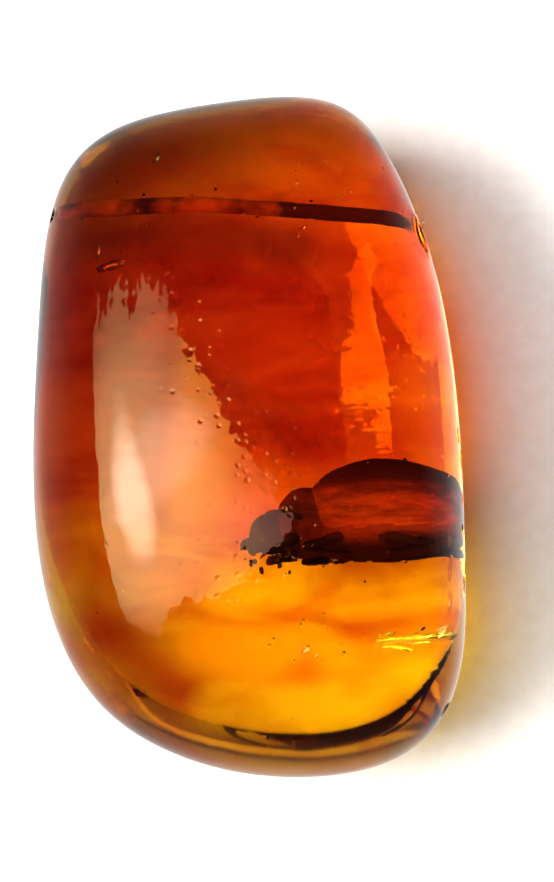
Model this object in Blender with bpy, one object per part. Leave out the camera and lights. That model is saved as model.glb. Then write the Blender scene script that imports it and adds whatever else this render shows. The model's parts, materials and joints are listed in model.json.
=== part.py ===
"""Insect in amber: a polished, drilled amber pebble with a beetle sealed inside it.

Metres, +Z up. The stone lies on its flat underside at z = 0, its long axis along +Y, and the origin is under
the middle of its box. The amber is one piece in nature. Here it is parted at mid height, so that the beetle
lies in a pocket of its own form.
"""
import math

import bmesh
import bpy
from mathutils import Vector

MM = 0.001
TOUCH_GAP = 0.3 * MM                 # left between pieces that touch
CUT_TOLERANCE = 1e-8                 # for level cuts
SHARP_ANGLE = math.radians(40)       # edges sharper than this stay crisp

# Stone: overall size and section
STONE_WIDTH = 20.0 * MM              # X
STONE_LENGTH = 32.0 * MM             # Y
STONE_HEIGHT = 12.5 * MM             # Z
GIRDLE_HEIGHT = 5.0 * MM             # height of the widest line
UNDERSIDE_SHARE = 0.48               # flat underside, as a share of the outline
CROWN_POWER = 2.20                   # 2 is an ellipse, more gives a squarer shoulder
RIM_POWER = 1.9
CROWN_LEAN = Vector((1.3, 2.0)) * MM  # how far the top of the dome sits off the middle, in X and Y
PARTING_HEIGHT = 5.6 * MM            # where the amber is parted
OUTLINE_SEGMENTS = 64
RIM_RINGS = 6
CROWN_RINGS = 10

# Plan outline of the stone: corners of a closed cubic B-spline, counter-clockwise from the right, in mm.
# The curve is scaled to the width and length above.
OUTLINE_CORNERS = (
    (10.2, 0.0), (9.5, 6.2), (8.1, 10.8), (5.9, 15.2), (3.0, 16.5), (-2.0, 15.9), (-7.2, 14.9), (-9.7, 11.8),
    (-10.1, 5.6), (-10.4, -1.0), (-10.0, -7.4), (-7.8, -12.6), (-3.8, -15.3), (1.6, -16.5), (7.3, -15.8),
    (10.4, -12.4), (10.3, -6.0),
)

# Drill hole: straight through the stone from left to right, near its far end
BORE_RADIUS = 0.35 * MM
BORE_ENDS = (Vector((-13.0, 10.3, 6.2)) * MM, Vector((13.0, 8.6, 8.3)) * MM)
BORE_SIDES = 16
MOUTH_RADIUS = 1.2 * MM              # the hole's mouths are dished where the drill broke out
MOUTH_CENTRES = (Vector((-9.95, 10.21, 6.73)) * MM, Vector((8.73, 9.19, 8.15)) * MM)
MOUTH_SEGMENTS = 20

# Beetle: lies on its side, head to the left (-X), back to the far side (+Y), belly flat and legs folded
BEETLE_CENTRE = Vector((4.25, -3.95, 5.6)) * MM
BEETLE_SIDES = 20
BEETLE_RINGS = 12

# Rounded body forms: centre, then reach towards the head, the tail, the back, the belly and each side (mm,
# from the beetle's centre). A wing case and an eye are stated for one side, and the other side mirrors them.
WING_CASE = ((0.9, -0.25, 0.45), 2.7, 3.7, 2.45, 1.20, 1.50)
ABDOMEN = ((1.0, -0.75, 0.0), 3.1, 3.6, 1.20, 1.28, 1.70)
THORAX = ((-1.7, -0.55, 0.0), 1.3, 1.7, 1.70, 1.35, 1.55)
HEAD = ((-3.1, -0.85, 0.0), 0.95, 0.9, 0.95, 0.85, 0.95)
SNOUT = ((-3.85, -1.30, 0.0), 0.60, 0.7, 0.35, 0.35, 0.45)
EYE = ((-3.35, -0.65, 0.78), 0.30, 0.30, 0.30, 0.30, 0.28)

# Belly segments: swellings round the abdomen, from the thorax to the tail
SEGMENT_COUNT = 5
SEGMENT_PITCH = 0.80                 # mm
SEGMENT_FIRST = ((-0.5, -0.85, 0.0), 0.50, 0.50, 0.90, 1.25, 1.74)
SEGMENT_TAPER = 0.05                 # each is this share slimmer than the one before

# Legs of the near side, hip to foot (mm), each with its radii; the other side mirrors them
LEG_RADII = (0.24, 0.20, 0.13, 0.08, 0.06)
LEG_PATHS = (
    ((-1.9, -1.25, 1.05), (-2.6, -1.75, 1.50), (-3.3, -1.95, 1.30), (-2.5, -2.00, 1.00), (-2.0, -2.02, 0.80)),
    ((-0.2, -1.35, 1.35), (-1.0, -1.70, 1.85), (-1.7, -1.85, 1.75), (-0.6, -2.00, 1.30), (0.1, -2.02, 1.05)),
    ((1.4, -1.40, 1.35), (2.3, -1.70, 1.85), (3.1, -1.85, 1.70), (2.0, -2.00, 1.25), (1.2, -2.02, 1.00)),
)
FEELER_PATH = ((-3.6, -0.55, 0.55), (-3.3, -0.15, 1.15), (-2.6, -0.20, 1.55), (-1.9, -0.45, 1.72))
FEELER_RADII = (0.10, 0.08, 0.08, 0.12)
LIMB_SIDES = 6
LEG_ROOM = ((0.0, -1.70, 0.0), 4.3, 4.4, 1.00, 0.75, 2.25)
FEELER_ROOM = ((-2.8, -0.45, 0.0), 1.4, 1.4, 0.80, 0.80, 1.85)


def clear_scene():
    """Remove every object, so the script can run from any file."""
    for old in list(bpy.data.objects):
        bpy.data.objects.remove(old, do_unlink=True)


def finish(name, colour, roughness, transmission=0.0, ior=1.5):
    """Return a Principled material."""
    material = bpy.data.materials.new(name)
    material.use_nodes = True
    shader = material.node_tree.nodes["Principled BSDF"]
    shader.inputs["Base Color"].default_value = (*colour, 1.0)
    shader.inputs["Roughness"].default_value = roughness
    shader.inputs["Transmission Weight"].default_value = transmission
    shader.inputs["IOR"].default_value = ior
    return material


def new_object(name, form, material=None):
    """Turn a bmesh into an object of the scene."""
    form.normal_update()
    bmesh.ops.recalc_face_normals(form, faces=form.faces)
    mesh = bpy.data.meshes.new(name)
    form.to_mesh(mesh)
    form.free()
    mesh.shade_smooth()
    mesh.set_sharp_from_angle(angle=SHARP_ANGLE)
    part = bpy.data.objects.new(name, mesh)
    bpy.context.scene.collection.objects.link(part)
    if material is not None:
        mesh.materials.append(material)
    return part


def make_guide(part):
    """Mark an object as a cutter, which is no part of the model."""
    part.hide_render = True
    part.display_type = 'WIRE'
    return part


def combine(target, operand, operation):
    """Leave an EXACT Boolean with another object on the target."""
    step = target.modifiers.new(operation.title(), 'BOOLEAN')
    step.operation = operation
    step.solver = 'EXACT'
    step.object = operand


def spline_point(corners, turn):
    """Return the point of a closed cubic B-spline at a share of the way round."""
    place = (turn % 1.0) * len(corners)
    first = int(place)
    t = place - first
    weights = ((1 - t) ** 3, 3 * t ** 3 - 6 * t ** 2 + 4, -3 * t ** 3 + 3 * t ** 2 + 3 * t + 1, t ** 3)
    around = [Vector(corners[(first + k - 1) % len(corners)]) for k in range(4)]
    return sum((w * p for w, p in zip(weights, around)), Vector((0.0, 0.0))) / 6


def stone_outline():
    """Return the widest line of the stone, in plan, in metres."""
    loop = [spline_point(OUTLINE_CORNERS, k / OUTLINE_SEGMENTS) for k in range(OUTLINE_SEGMENTS)]
    low = Vector((min(p.x for p in loop), min(p.y for p in loop)))
    high = Vector((max(p.x for p in loop), max(p.y for p in loop)))
    middle = (low + high) / 2
    scale_x = STONE_WIDTH / (high.x - low.x)
    scale_y = STONE_LENGTH / (high.y - low.y)
    return [Vector(((p.x - middle.x) * scale_x, (p.y - middle.y) * scale_y)) for p in loop]


def crown_share(height):
    """Return the crown's outline share at a height above the girdle."""
    rise = (height - GIRDLE_HEIGHT) / (STONE_HEIGHT - GIRDLE_HEIGHT)
    return (1 - rise ** CROWN_POWER) ** (1 / CROWN_POWER)


def stone_sections():
    """Return (height, outline share, lean share) for each ring, from the underside up."""
    sections = []
    for k in range(RIM_RINGS):
        angle = math.pi / 2 * k / RIM_RINGS
        share = UNDERSIDE_SHARE + (1 - UNDERSIDE_SHARE) * math.sin(angle) ** (2 / RIM_POWER)
        sections.append((GIRDLE_HEIGHT * (1 - math.cos(angle) ** (2 / RIM_POWER)), share, 0.0))
    for k in range(CROWN_RINGS):
        rise = math.sin(math.pi / 2 * k / CROWN_RINGS) ** (2 / CROWN_POWER)
        height = GIRDLE_HEIGHT + (STONE_HEIGHT - GIRDLE_HEIGHT) * rise
        sections.append((height, crown_share(height), rise ** 2))
    return sections


def stone_form():
    """Return the whole stone as a bmesh."""
    form = bmesh.new()
    outline = stone_outline()
    rings = []
    for height, share, lean in stone_sections():
        shift = CROWN_LEAN * lean
        ring = [form.verts.new((*(p * share + shift), height)) for p in outline]
        rings.append(ring)
    for lower, upper in zip(rings, rings[1:]):
        for k in range(OUTLINE_SEGMENTS):
            n = (k + 1) % OUTLINE_SEGMENTS
            form.faces.new((lower[k], lower[n], upper[n], upper[k]))
    form.faces.new(rings[0])
    top = form.verts.new((*CROWN_LEAN, STONE_HEIGHT))
    for k in range(OUTLINE_SEGMENTS):
        form.faces.new((rings[-1][k], rings[-1][(k + 1) % OUTLINE_SEGMENTS], top))
    return form


def cut_level(form, height, keep_above):
    """Cut a bmesh level and close it."""
    everything = list(form.verts) + list(form.edges) + list(form.faces)
    cut = bmesh.ops.bisect_plane(form, geom=everything, dist=CUT_TOLERANCE, plane_co=(0, 0, height),
                                 plane_no=(0, 0, 1), clear_inner=keep_above, clear_outer=not keep_above)
    rim = [g for g in cut["geom_cut"] if isinstance(g, bmesh.types.BMEdge)]
    bmesh.ops.holes_fill(form, edges=rim)


def rounded_form(shape, grow=0.0):
    """Return a closed egg form as a bmesh, its reach stated towards each side, in world metres."""
    centre, front, back, up, down, side = shape
    form = bmesh.new()
    bmesh.ops.create_uvsphere(form, u_segments=BEETLE_SIDES, v_segments=BEETLE_RINGS, radius=1.0)
    for vertex in form.verts:
        height, across, along = vertex.co
        reach_x = (back if along > 0 else front) * MM + grow
        reach_y = (up if height > 0 else down) * MM + grow
        local = Vector((along * reach_x, height * reach_y, across * (side * MM + grow)))
        vertex.co = BEETLE_CENTRE + Vector(centre) * MM + local
    return form


def limb_form(path, radii, side):
    """Return a tapered, closed limb along a path as a bmesh, in world metres."""
    points = [BEETLE_CENTRE + Vector((x, y, z * side)) * MM for x, y, z in path]
    form = bmesh.new()
    rings = []
    for k, point in enumerate(points):
        ahead = points[min(k + 1, len(points) - 1)] - points[max(k - 1, 0)]
        across = ahead.orthogonal().normalized()
        over = ahead.cross(across).normalized()
        ring = []
        for s in range(LIMB_SIDES):
            turn = 2 * math.pi * s / LIMB_SIDES
            spoke = math.cos(turn) * across + math.sin(turn) * over
            ring.append(form.verts.new(point + radii[k] * MM * spoke))
        rings.append(ring)
    for lower, upper in zip(rings, rings[1:]):
        bmesh.ops.bridge_loops(form, edges=ring_edges(form, lower) + ring_edges(form, upper))
    for ring, point, inner in ((rings[0], points[0], points[1]), (rings[-1], points[-1], points[-2])):
        tip = form.verts.new(point + (point - inner).normalized() * radii[-1] * MM)
        for k in range(LIMB_SIDES):
            form.faces.new((ring[k], ring[(k + 1) % LIMB_SIDES], tip))
    return form


def ring_edges(form, ring):
    """Return the edges round a ring of vertices, made where they are missing."""
    edges = []
    for k, vertex in enumerate(ring):
        follower = ring[(k + 1) % len(ring)]
        edges.append(form.edges.get((vertex, follower)) or form.edges.new((vertex, follower)))
    return edges


def bore_cutter():
    """Return the drill hole's cutter."""
    start, end = BORE_ENDS
    form = bmesh.new()
    bmesh.ops.create_cone(form, cap_ends=True, segments=BORE_SIDES, radius1=BORE_RADIUS, radius2=BORE_RADIUS,
                          depth=(end - start).length)
    turn = (end - start).to_track_quat('Z', 'Y').to_matrix().to_4x4()
    bmesh.ops.transform(form, matrix=turn, verts=form.verts)
    bmesh.ops.translate(form, vec=(start + end) / 2, verts=form.verts)
    return make_guide(new_object("bore_cutter", form))


def mouth_cutters():
    """Return the round forms that dish the hole's two mouths."""
    cutters = []
    for k, centre in enumerate(MOUTH_CENTRES):
        form = bmesh.new()
        bmesh.ops.create_uvsphere(form, u_segments=MOUTH_SEGMENTS, v_segments=MOUTH_SEGMENTS // 2,
                                  radius=MOUTH_RADIUS)
        bmesh.ops.translate(form, vec=centre, verts=form.verts)
        cutters.append(make_guide(new_object(f"mouth_cutter_{k}", form)))
    return cutters


def mirrored(shape):
    """Return a body form for the beetle's other side."""
    (x, y, z), *reaches = shape
    return ((x, y, -z), *reaches)


def belly_segments():
    """Return the body forms of the belly's segments."""
    (x, y, z), front, back, up, down, side = SEGMENT_FIRST
    shapes = []
    for k in range(SEGMENT_COUNT):
        slim = 1 - SEGMENT_TAPER * k
        shapes.append(((x + SEGMENT_PITCH * k, y, z), front, back, up * slim, down * slim, side * slim))
    return shapes


def pocket_cutters():
    """Return the forms that hollow the beetle's pocket."""
    shapes = (WING_CASE, mirrored(WING_CASE), ABDOMEN, THORAX, HEAD, SNOUT, LEG_ROOM, FEELER_ROOM)
    return [make_guide(new_object(f"pocket_cutter_{k}", rounded_form(shape, TOUCH_GAP)))
            for k, shape in enumerate(shapes)]


def amber_half(name, keep_above, cutters, material):
    """Return one half of the stone, with its share of the pocket and the drill hole."""
    form = stone_form()
    offset = TOUCH_GAP / 2 if keep_above else -TOUCH_GAP / 2
    cut_level(form, PARTING_HEIGHT + offset, keep_above)
    half = new_object(name, form, material)
    for cutter in cutters:
        combine(half, cutter, 'DIFFERENCE')
    return half


def beetle(material):
    """Return the beetle, its body, legs and feelers joined in one solid."""
    body = new_object("beetle", rounded_form(WING_CASE), material)
    shapes = [mirrored(WING_CASE), ABDOMEN, THORAX, HEAD, SNOUT, EYE, mirrored(EYE)] + belly_segments()
    joined = [rounded_form(shape) for shape in shapes]
    for side in (1, -1):
        joined.append(limb_form(FEELER_PATH, FEELER_RADII, side))
        joined += [limb_form(path, LEG_RADII, side) for path in LEG_PATHS]
    for k, form in enumerate(joined):
        combine(body, make_guide(new_object(f"beetle_form_{k}", form)), 'UNION')
    return body


def main():
    """Build the two amber halves and the beetle between them."""
    clear_scene()
    amber = finish("polished amber", (0.72, 0.17, 0.015), 0.06, transmission=1.0, ior=1.54)
    chitin = finish("dark chitin", (0.045, 0.012, 0.004), 0.38)
    beetle(chitin)
    pocket = pocket_cutters()
    amber_half("amber_lower_half", False, pocket, amber)
    drilling = [bore_cutter()] + mouth_cutters()
    amber_half("amber_upper_half", True, pocket + drilling, amber)


main()
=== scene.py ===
"""Looks of a polished, drilled amber pebble with a beetle sealed inside it.

Metres, +Z up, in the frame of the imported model. The amber is one clear piece here, with its drill hole,
chips, cracks and gas bubbles cut into it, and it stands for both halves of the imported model. The beetle
inside is built from its own hard parts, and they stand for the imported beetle.
"""

import json
import logging
import math
from collections.abc import Callable
from dataclasses import dataclass, field, replace
from enum import Enum

import bmesh
import bpy
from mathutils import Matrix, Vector, noise

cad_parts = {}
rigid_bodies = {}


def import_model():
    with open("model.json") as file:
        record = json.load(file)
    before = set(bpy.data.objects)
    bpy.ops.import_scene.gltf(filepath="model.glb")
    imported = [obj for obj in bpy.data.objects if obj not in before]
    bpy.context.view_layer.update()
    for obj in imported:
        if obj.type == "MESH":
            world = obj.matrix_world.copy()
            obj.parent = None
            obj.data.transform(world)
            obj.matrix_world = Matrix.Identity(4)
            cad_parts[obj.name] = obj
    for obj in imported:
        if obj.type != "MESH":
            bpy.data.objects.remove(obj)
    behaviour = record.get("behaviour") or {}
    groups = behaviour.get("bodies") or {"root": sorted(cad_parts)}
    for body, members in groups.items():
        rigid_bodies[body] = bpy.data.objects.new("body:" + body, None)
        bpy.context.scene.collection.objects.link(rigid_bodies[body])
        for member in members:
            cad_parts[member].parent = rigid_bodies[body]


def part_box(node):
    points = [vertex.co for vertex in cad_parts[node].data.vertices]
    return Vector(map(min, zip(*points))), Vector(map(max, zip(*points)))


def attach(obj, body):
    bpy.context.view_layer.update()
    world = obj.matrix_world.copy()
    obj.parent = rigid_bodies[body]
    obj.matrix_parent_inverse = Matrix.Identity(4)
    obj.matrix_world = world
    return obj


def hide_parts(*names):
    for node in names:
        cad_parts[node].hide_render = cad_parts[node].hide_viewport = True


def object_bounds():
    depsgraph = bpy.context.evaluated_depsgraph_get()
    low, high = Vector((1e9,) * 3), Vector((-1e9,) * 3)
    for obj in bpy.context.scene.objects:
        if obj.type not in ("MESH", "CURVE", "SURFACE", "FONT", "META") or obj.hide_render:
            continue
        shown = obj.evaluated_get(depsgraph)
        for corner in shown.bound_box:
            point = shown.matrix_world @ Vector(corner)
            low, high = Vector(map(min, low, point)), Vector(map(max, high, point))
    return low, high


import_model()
CAD_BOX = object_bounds()

MM = 0.001
AMBER_NODES = ("amber_lower_half", "amber_upper_half")
BEETLE_NODE = "beetle"
BODY = "root"
SHARP_ANGLE = math.radians(34)

Tree = bpy.types.NodeTree
Socket = bpy.types.NodeSocket
Material = bpy.types.Material
Piece = bpy.types.Object
Form = bmesh.types.BMesh
Ring = list[bmesh.types.BMVert]
Stops = tuple[tuple[float, str], ...]
Points = tuple[tuple[float, float, float], ...]

log = logging.getLogger("insect_in_amber")


class Side(Enum):
    """The beetle's two sides, as signs of Z."""

    UPPER = 1
    LOWER = -1


class Cut(Enum):
    """What leaves a hollow in the amber's outside."""

    BORE = "bore"
    MOUTH = "mouth"
    CHIP = "chip"


# ---------------------------------------------------------------- shared tools


def linear(colour: str) -> tuple[float, float, float, float]:
    """Turn an sRGB hex colour into linear RGBA.

    Args:
        colour: Six hex digits after a hash.

    Returns:
        The colour as Blender's shaders take it, with alpha 1.
    """
    channels = [int(colour[k:k + 2], 16) / 255 for k in (1, 3, 5)]
    low = [c / 12.92 if c <= 0.04045 else ((c + 0.055) / 1.055) ** 2.4 for c in channels]
    return (low[0], low[1], low[2], 1.0)


def set_inputs(tree: Tree, node: bpy.types.Node, inputs: dict) -> None:
    """Link or set a node's inputs.

    Args:
        tree: The node's tree.
        node: The node.
        inputs: Its sockets by name or index. An output socket is linked, and any other value is set.
    """
    for key, value in inputs.items():
        if isinstance(value, Socket):
            tree.links.new(value, node.inputs[key])
        else:
            node.inputs[key].default_value = value


def add_node(tree: Tree, kind: str, inputs: dict | None = None, **settings) -> bpy.types.Node:
    """Add a node with its settings and inputs.

    Args:
        tree: The material, world or geometry tree.
        kind: The node's type name.
        inputs: What each of its inputs takes.
        settings: The node's own properties.

    Returns:
        The new node.
    """
    node = tree.nodes.new(kind)
    for name, value in settings.items():
        setattr(node, name, value)
    set_inputs(tree, node, inputs or {})
    return node


def maths(tree: Tree, operation: str, *values: Socket | float) -> Socket:
    """Work out a number.

    Args:
        tree: The tree.
        operation: The Math node's operation.
        values: What it works on, in order.

    Returns:
        The number.
    """
    return add_node(tree, "ShaderNodeMath", dict(enumerate(values)), operation=operation).outputs["Value"]


def vector_maths(tree: Tree, operation: str, *values: Socket | tuple[float, ...],
                 scale: Socket | float = 1.0) -> Socket:
    """Work out a vector, or a number about vectors.

    Args:
        tree: The tree.
        operation: The Vector Math node's operation.
        values: What it works on, in order.
        scale: The number that SCALE multiplies by.

    Returns:
        The vector or the number.
    """
    node = add_node(tree, "ShaderNodeVectorMath", dict(enumerate(values)), operation=operation)
    if operation == 'SCALE':
        set_inputs(tree, node, {"Scale": scale})
    return node.outputs["Value" if operation in ('DOT_PRODUCT', 'DISTANCE', 'LENGTH') else "Vector"]


def map_range(tree: Tree, value: Socket, start: tuple[float, float] = (0.0, 1.0),
              end: tuple[float, float] = (0.0, 1.0), shape: str = 'LINEAR') -> Socket:
    """Carry a number from one range over to another, held at both ends.

    Args:
        tree: The tree.
        value: The number.
        start: The range it comes from.
        end: The range it goes to.
        shape: The Map Range node's interpolation.

    Returns:
        The carried number.
    """
    return add_node(tree, "ShaderNodeMapRange", {"Value": value, "From Min": start[0], "From Max": start[1],
                                                 "To Min": end[0], "To Max": end[1]},
                    interpolation_type=shape).outputs["Result"]


def clouds(tree: Tree, place: Socket, pitch: float, detail: float, **more: float) -> Socket:
    """Add cloudy noise.

    Args:
        tree: The material's tree.
        place: Where it is looked up.
        pitch: The size of its clouds in metres.
        detail: How many finer layers lie over them.
        more: Its other inputs by name.

    Returns:
        The noise, from 0 to 1.
    """
    inputs = {"Vector": place, "Scale": 1 / pitch, "Detail": detail, **more}
    return add_node(tree, "ShaderNodeTexNoise", inputs).outputs["Fac"]


def cells(tree: Tree, place: Socket, pitch: float) -> bpy.types.NodeOutputs:
    """Add scattered round cells.

    Args:
        tree: The material's tree.
        place: Where they are looked up.
        pitch: Their size in metres.

    Returns:
        The distance from each cell's middle and its own colour, by name.
    """
    return add_node(tree, "ShaderNodeTexVoronoi", {"Vector": place, "Scale": 1 / pitch}).outputs


def ramp(tree: Tree, value: Socket, stops: tuple[tuple[float, str], ...]) -> Socket:
    """Turn a number into a colour.

    Args:
        tree: The tree.
        value: The number.
        stops: Each stop's place and hex colour, in order.

    Returns:
        The colour.
    """
    node = add_node(tree, "ShaderNodeValToRGB", {"Fac": value})
    elements = node.color_ramp.elements
    while len(elements) < len(stops):
        elements.new(1.0)
    for element, (place, colour) in zip(elements, stops):
        element.position = place
        element.color = linear(colour)
    return node.outputs["Color"]


def blend(tree: Tree, share: Socket | float, under: Socket, over: Socket | tuple[float, ...],
          kind: str = 'MIX') -> Socket:
    """Lay one colour over another.

    Args:
        tree: The tree.
        share: How much of the upper colour counts.
        under: The lower colour.
        over: The upper colour.
        kind: The Mix node's blending.

    Returns:
        The colour.
    """
    return add_node(tree, "ShaderNodeMix", {"Factor": share, "A": under, "B": over},
                    data_type='RGBA', blend_type=kind).outputs["Result"]


def bump(tree: Tree, height: Socket, distance: float, strength: Socket | float,
         under: Socket | None = None) -> Socket:
    """Add fine relief.

    Args:
        tree: The material's tree.
        height: The relief, from 0 to 1.
        distance: How high it is in metres.
        strength: How much of it shows.
        under: The normal that it is laid over.

    Returns:
        The bent normal.
    """
    inputs = {"Height": height, "Distance": distance, "Strength": strength}
    if under is not None:
        inputs["Normal"] = under
    return add_node(tree, "ShaderNodeBump", inputs).outputs["Normal"]


def object_place(tree: Tree) -> Socket:
    """Add object coordinates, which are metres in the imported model's frame.

    Args:
        tree: The material's tree.

    Returns:
        The coordinates.
    """
    return add_node(tree, "ShaderNodeTexCoord").outputs["Object"]


def split_axes(tree: Tree, place: Socket) -> bpy.types.NodeOutputs:
    """Split a vector.

    Args:
        tree: The tree.
        place: The vector.

    Returns:
        Its X, Y and Z by name.
    """
    return add_node(tree, "ShaderNodeSeparateXYZ", {"Vector": place}).outputs


def new_material(name: str) -> tuple[Material, Tree, bpy.types.Node]:
    """Make a node material.

    Args:
        name: The material's name.

    Returns:
        The material, its tree and its Principled shader.
    """
    material = bpy.data.materials.new(name)
    material.use_nodes = True
    tree = material.node_tree
    return material, tree, tree.nodes["Principled BSDF"]


def new_glow(name: str) -> tuple[Material, Tree, bpy.types.Node]:
    """Make a material that only shines.

    Args:
        name: The material's name.

    Returns:
        The material, its tree and its Emission shader.
    """
    material = bpy.data.materials.new(name)
    material.use_nodes = True
    tree = material.node_tree
    tree.nodes.clear()
    light = add_node(tree, "ShaderNodeEmission")
    add_node(tree, "ShaderNodeOutputMaterial", {"Surface": light.outputs["Emission"]})
    return material, tree, light


def new_piece(name: str, form: Form, material: Material | None = None, outward: bool = True) -> Piece:
    """Turn a bmesh into an object at the origin, smooth but for its sharp edges.

    Args:
        name: The object's name.
        form: The mesh, which is used up.
        material: Its finish.
        outward: Whether to turn every face outwards first.

    Returns:
        The new object.
    """
    if outward:
        bmesh.ops.recalc_face_normals(form, faces=form.faces)
    mesh = bpy.data.meshes.new(name)
    form.to_mesh(mesh)
    form.free()
    mesh.shade_smooth()
    mesh.set_sharp_from_angle(angle=SHARP_ANGLE)
    if material is not None:
        mesh.materials.append(material)
    piece = bpy.data.objects.new(name, mesh)
    bpy.context.scene.collection.objects.link(piece)
    return piece


def freeze(piece: Piece) -> Piece:
    """Make an object's evaluated shape its plain mesh and take its modifiers off.

    Args:
        piece: The object with live modifiers.

    Returns:
        The same object.
    """
    bpy.context.view_layer.update()
    shape = piece.evaluated_get(bpy.context.evaluated_depsgraph_get())
    mesh = bpy.data.meshes.new_from_object(shape)
    piece.modifiers.clear()
    piece.data = mesh
    mesh.name = piece.name
    return piece


def join_forms(forms: list[Form]) -> Form:
    """Put several bmeshes into one.

    Args:
        forms: The bmeshes, which are used up.

    Returns:
        One bmesh that holds them all.
    """
    whole = bmesh.new()
    for form in forms:
        passing = bpy.data.meshes.new("passing")
        form.to_mesh(passing)
        form.free()
        whole.from_mesh(passing)
        bpy.data.meshes.remove(passing)
    return whole


def hand_over(piece: Piece, stands_for: tuple[str, ...] = ()) -> None:
    """Give a finished piece its body and the nodes that it stands for.

    Args:
        piece: The finished object.
        stands_for: The CAD nodes that it replaces.
    """
    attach(piece, BODY)
    if stands_for:
        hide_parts(*stands_for)
    log.info("%s: %d faces", piece.name, len(piece.data.polygons))


def smooth_path(points: list[Vector], steps: int) -> list[Vector]:
    """Run a smooth curve through points.

    Args:
        points: The points in order.
        steps: Stretches between one point and the next.

    Returns:
        The curve's points, the given ones among them.
    """
    padded = [points[0] * 2 - points[1], *points, points[-1] * 2 - points[-2]]
    curve = []
    for k in range(len(points) - 1):
        a, b, c, d = padded[k:k + 4]
        for s in range(steps):
            t = s / steps
            bend = (b * 2 + (c - a) * t + (a * 2 - b * 5 + c * 4 - d) * t ** 2
                    + (b * 3 - a - c * 3 + d) * t ** 3)
            curve.append(bend / 2)
    curve.append(points[-1].copy())
    return curve


def bridge(form: Form, lower: Ring, upper: Ring) -> None:
    """Join two rings by a band of faces.

    Args:
        form: The mesh.
        lower: One ring.
        upper: The other, with as many points.
    """
    for k in range(len(lower)):
        n = (k + 1) % len(lower)
        form.faces.new((lower[k], lower[n], upper[n], upper[k]))


def close_end(form: Form, ring: Ring, tip: Vector) -> None:
    """Close a ring with a fan of faces.

    Args:
        form: The mesh.
        ring: The ring.
        tip: Where the fan meets.
    """
    pole = form.verts.new(tip)
    for k in range(len(ring)):
        form.faces.new((ring[k], ring[(k + 1) % len(ring)], pole))


def tube_form(points: list[Vector], radii: list[float], sides: int) -> Form:
    """Make a closed tube of changing width along a path.

    Args:
        points: The path.
        radii: The radius at each of its points, in metres.
        sides: Faces round the tube.

    Returns:
        The tube, with a blunt point at each end.
    """
    form = bmesh.new()
    rings = []
    over = (points[1] - points[0]).orthogonal().normalized()
    turns = [2 * math.pi * s / sides for s in range(sides)]
    for k, point in enumerate(points):
        ahead = (points[min(k + 1, len(points) - 1)] - points[max(k - 1, 0)]).normalized()
        over = (over - ahead * over.dot(ahead)).normalized()
        across = ahead.cross(over)
        rings.append([form.verts.new(point + radii[k] * (math.cos(t) * over + math.sin(t) * across))
                      for t in turns])
    for lower, upper in zip(rings, rings[1:]):
        bridge(form, lower, upper)
    for ring, end, inner, radius in ((rings[0], points[0], points[1], radii[0]),
                                     (rings[-1], points[-1], points[-2], radii[-1])):
        close_end(form, ring, end + (end - inner).normalized() * radius)
    return form


# ---------------------------------------------------------------- finishes


@dataclass(frozen=True)
class StainAndPaintedLight:
    """A streak laid over the skin, some of older skin and some painted light and shade: its two ends and
    reach in millimetres, and the colour it lets through.
    """

    start: tuple[float, float, float]
    end: tuple[float, float, float]
    reach: float
    colour: str

    def lay(self, tree: Tree, place: Socket, under: Socket) -> Socket:
        """Lay the streak over a colour.

        Args:
            tree: The material's tree.
            place: Object coordinates.
            under: The colour below.

        Returns:
            The colour with the streak.
        """
        run = (Vector(self.end) - Vector(self.start)) * MM
        off = vector_maths(tree, 'SUBTRACT', place, tuple(Vector(self.start) * MM))
        share = vector_maths(tree, 'DOT_PRODUCT', off, tuple(run / run.length_squared))
        held = add_node(tree, "ShaderNodeClamp", {"Value": share}).outputs["Result"]
        spine = vector_maths(tree, 'SCALE', tuple(run), scale=held)
        far = vector_maths(tree, 'DISTANCE', off, spine)
        fade = map_range(tree, far, (0.0, self.reach * MM), (1.0, 0.0), 'SMOOTHERSTEP')
        return blend(tree, fade, under, linear(self.colour))


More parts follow.
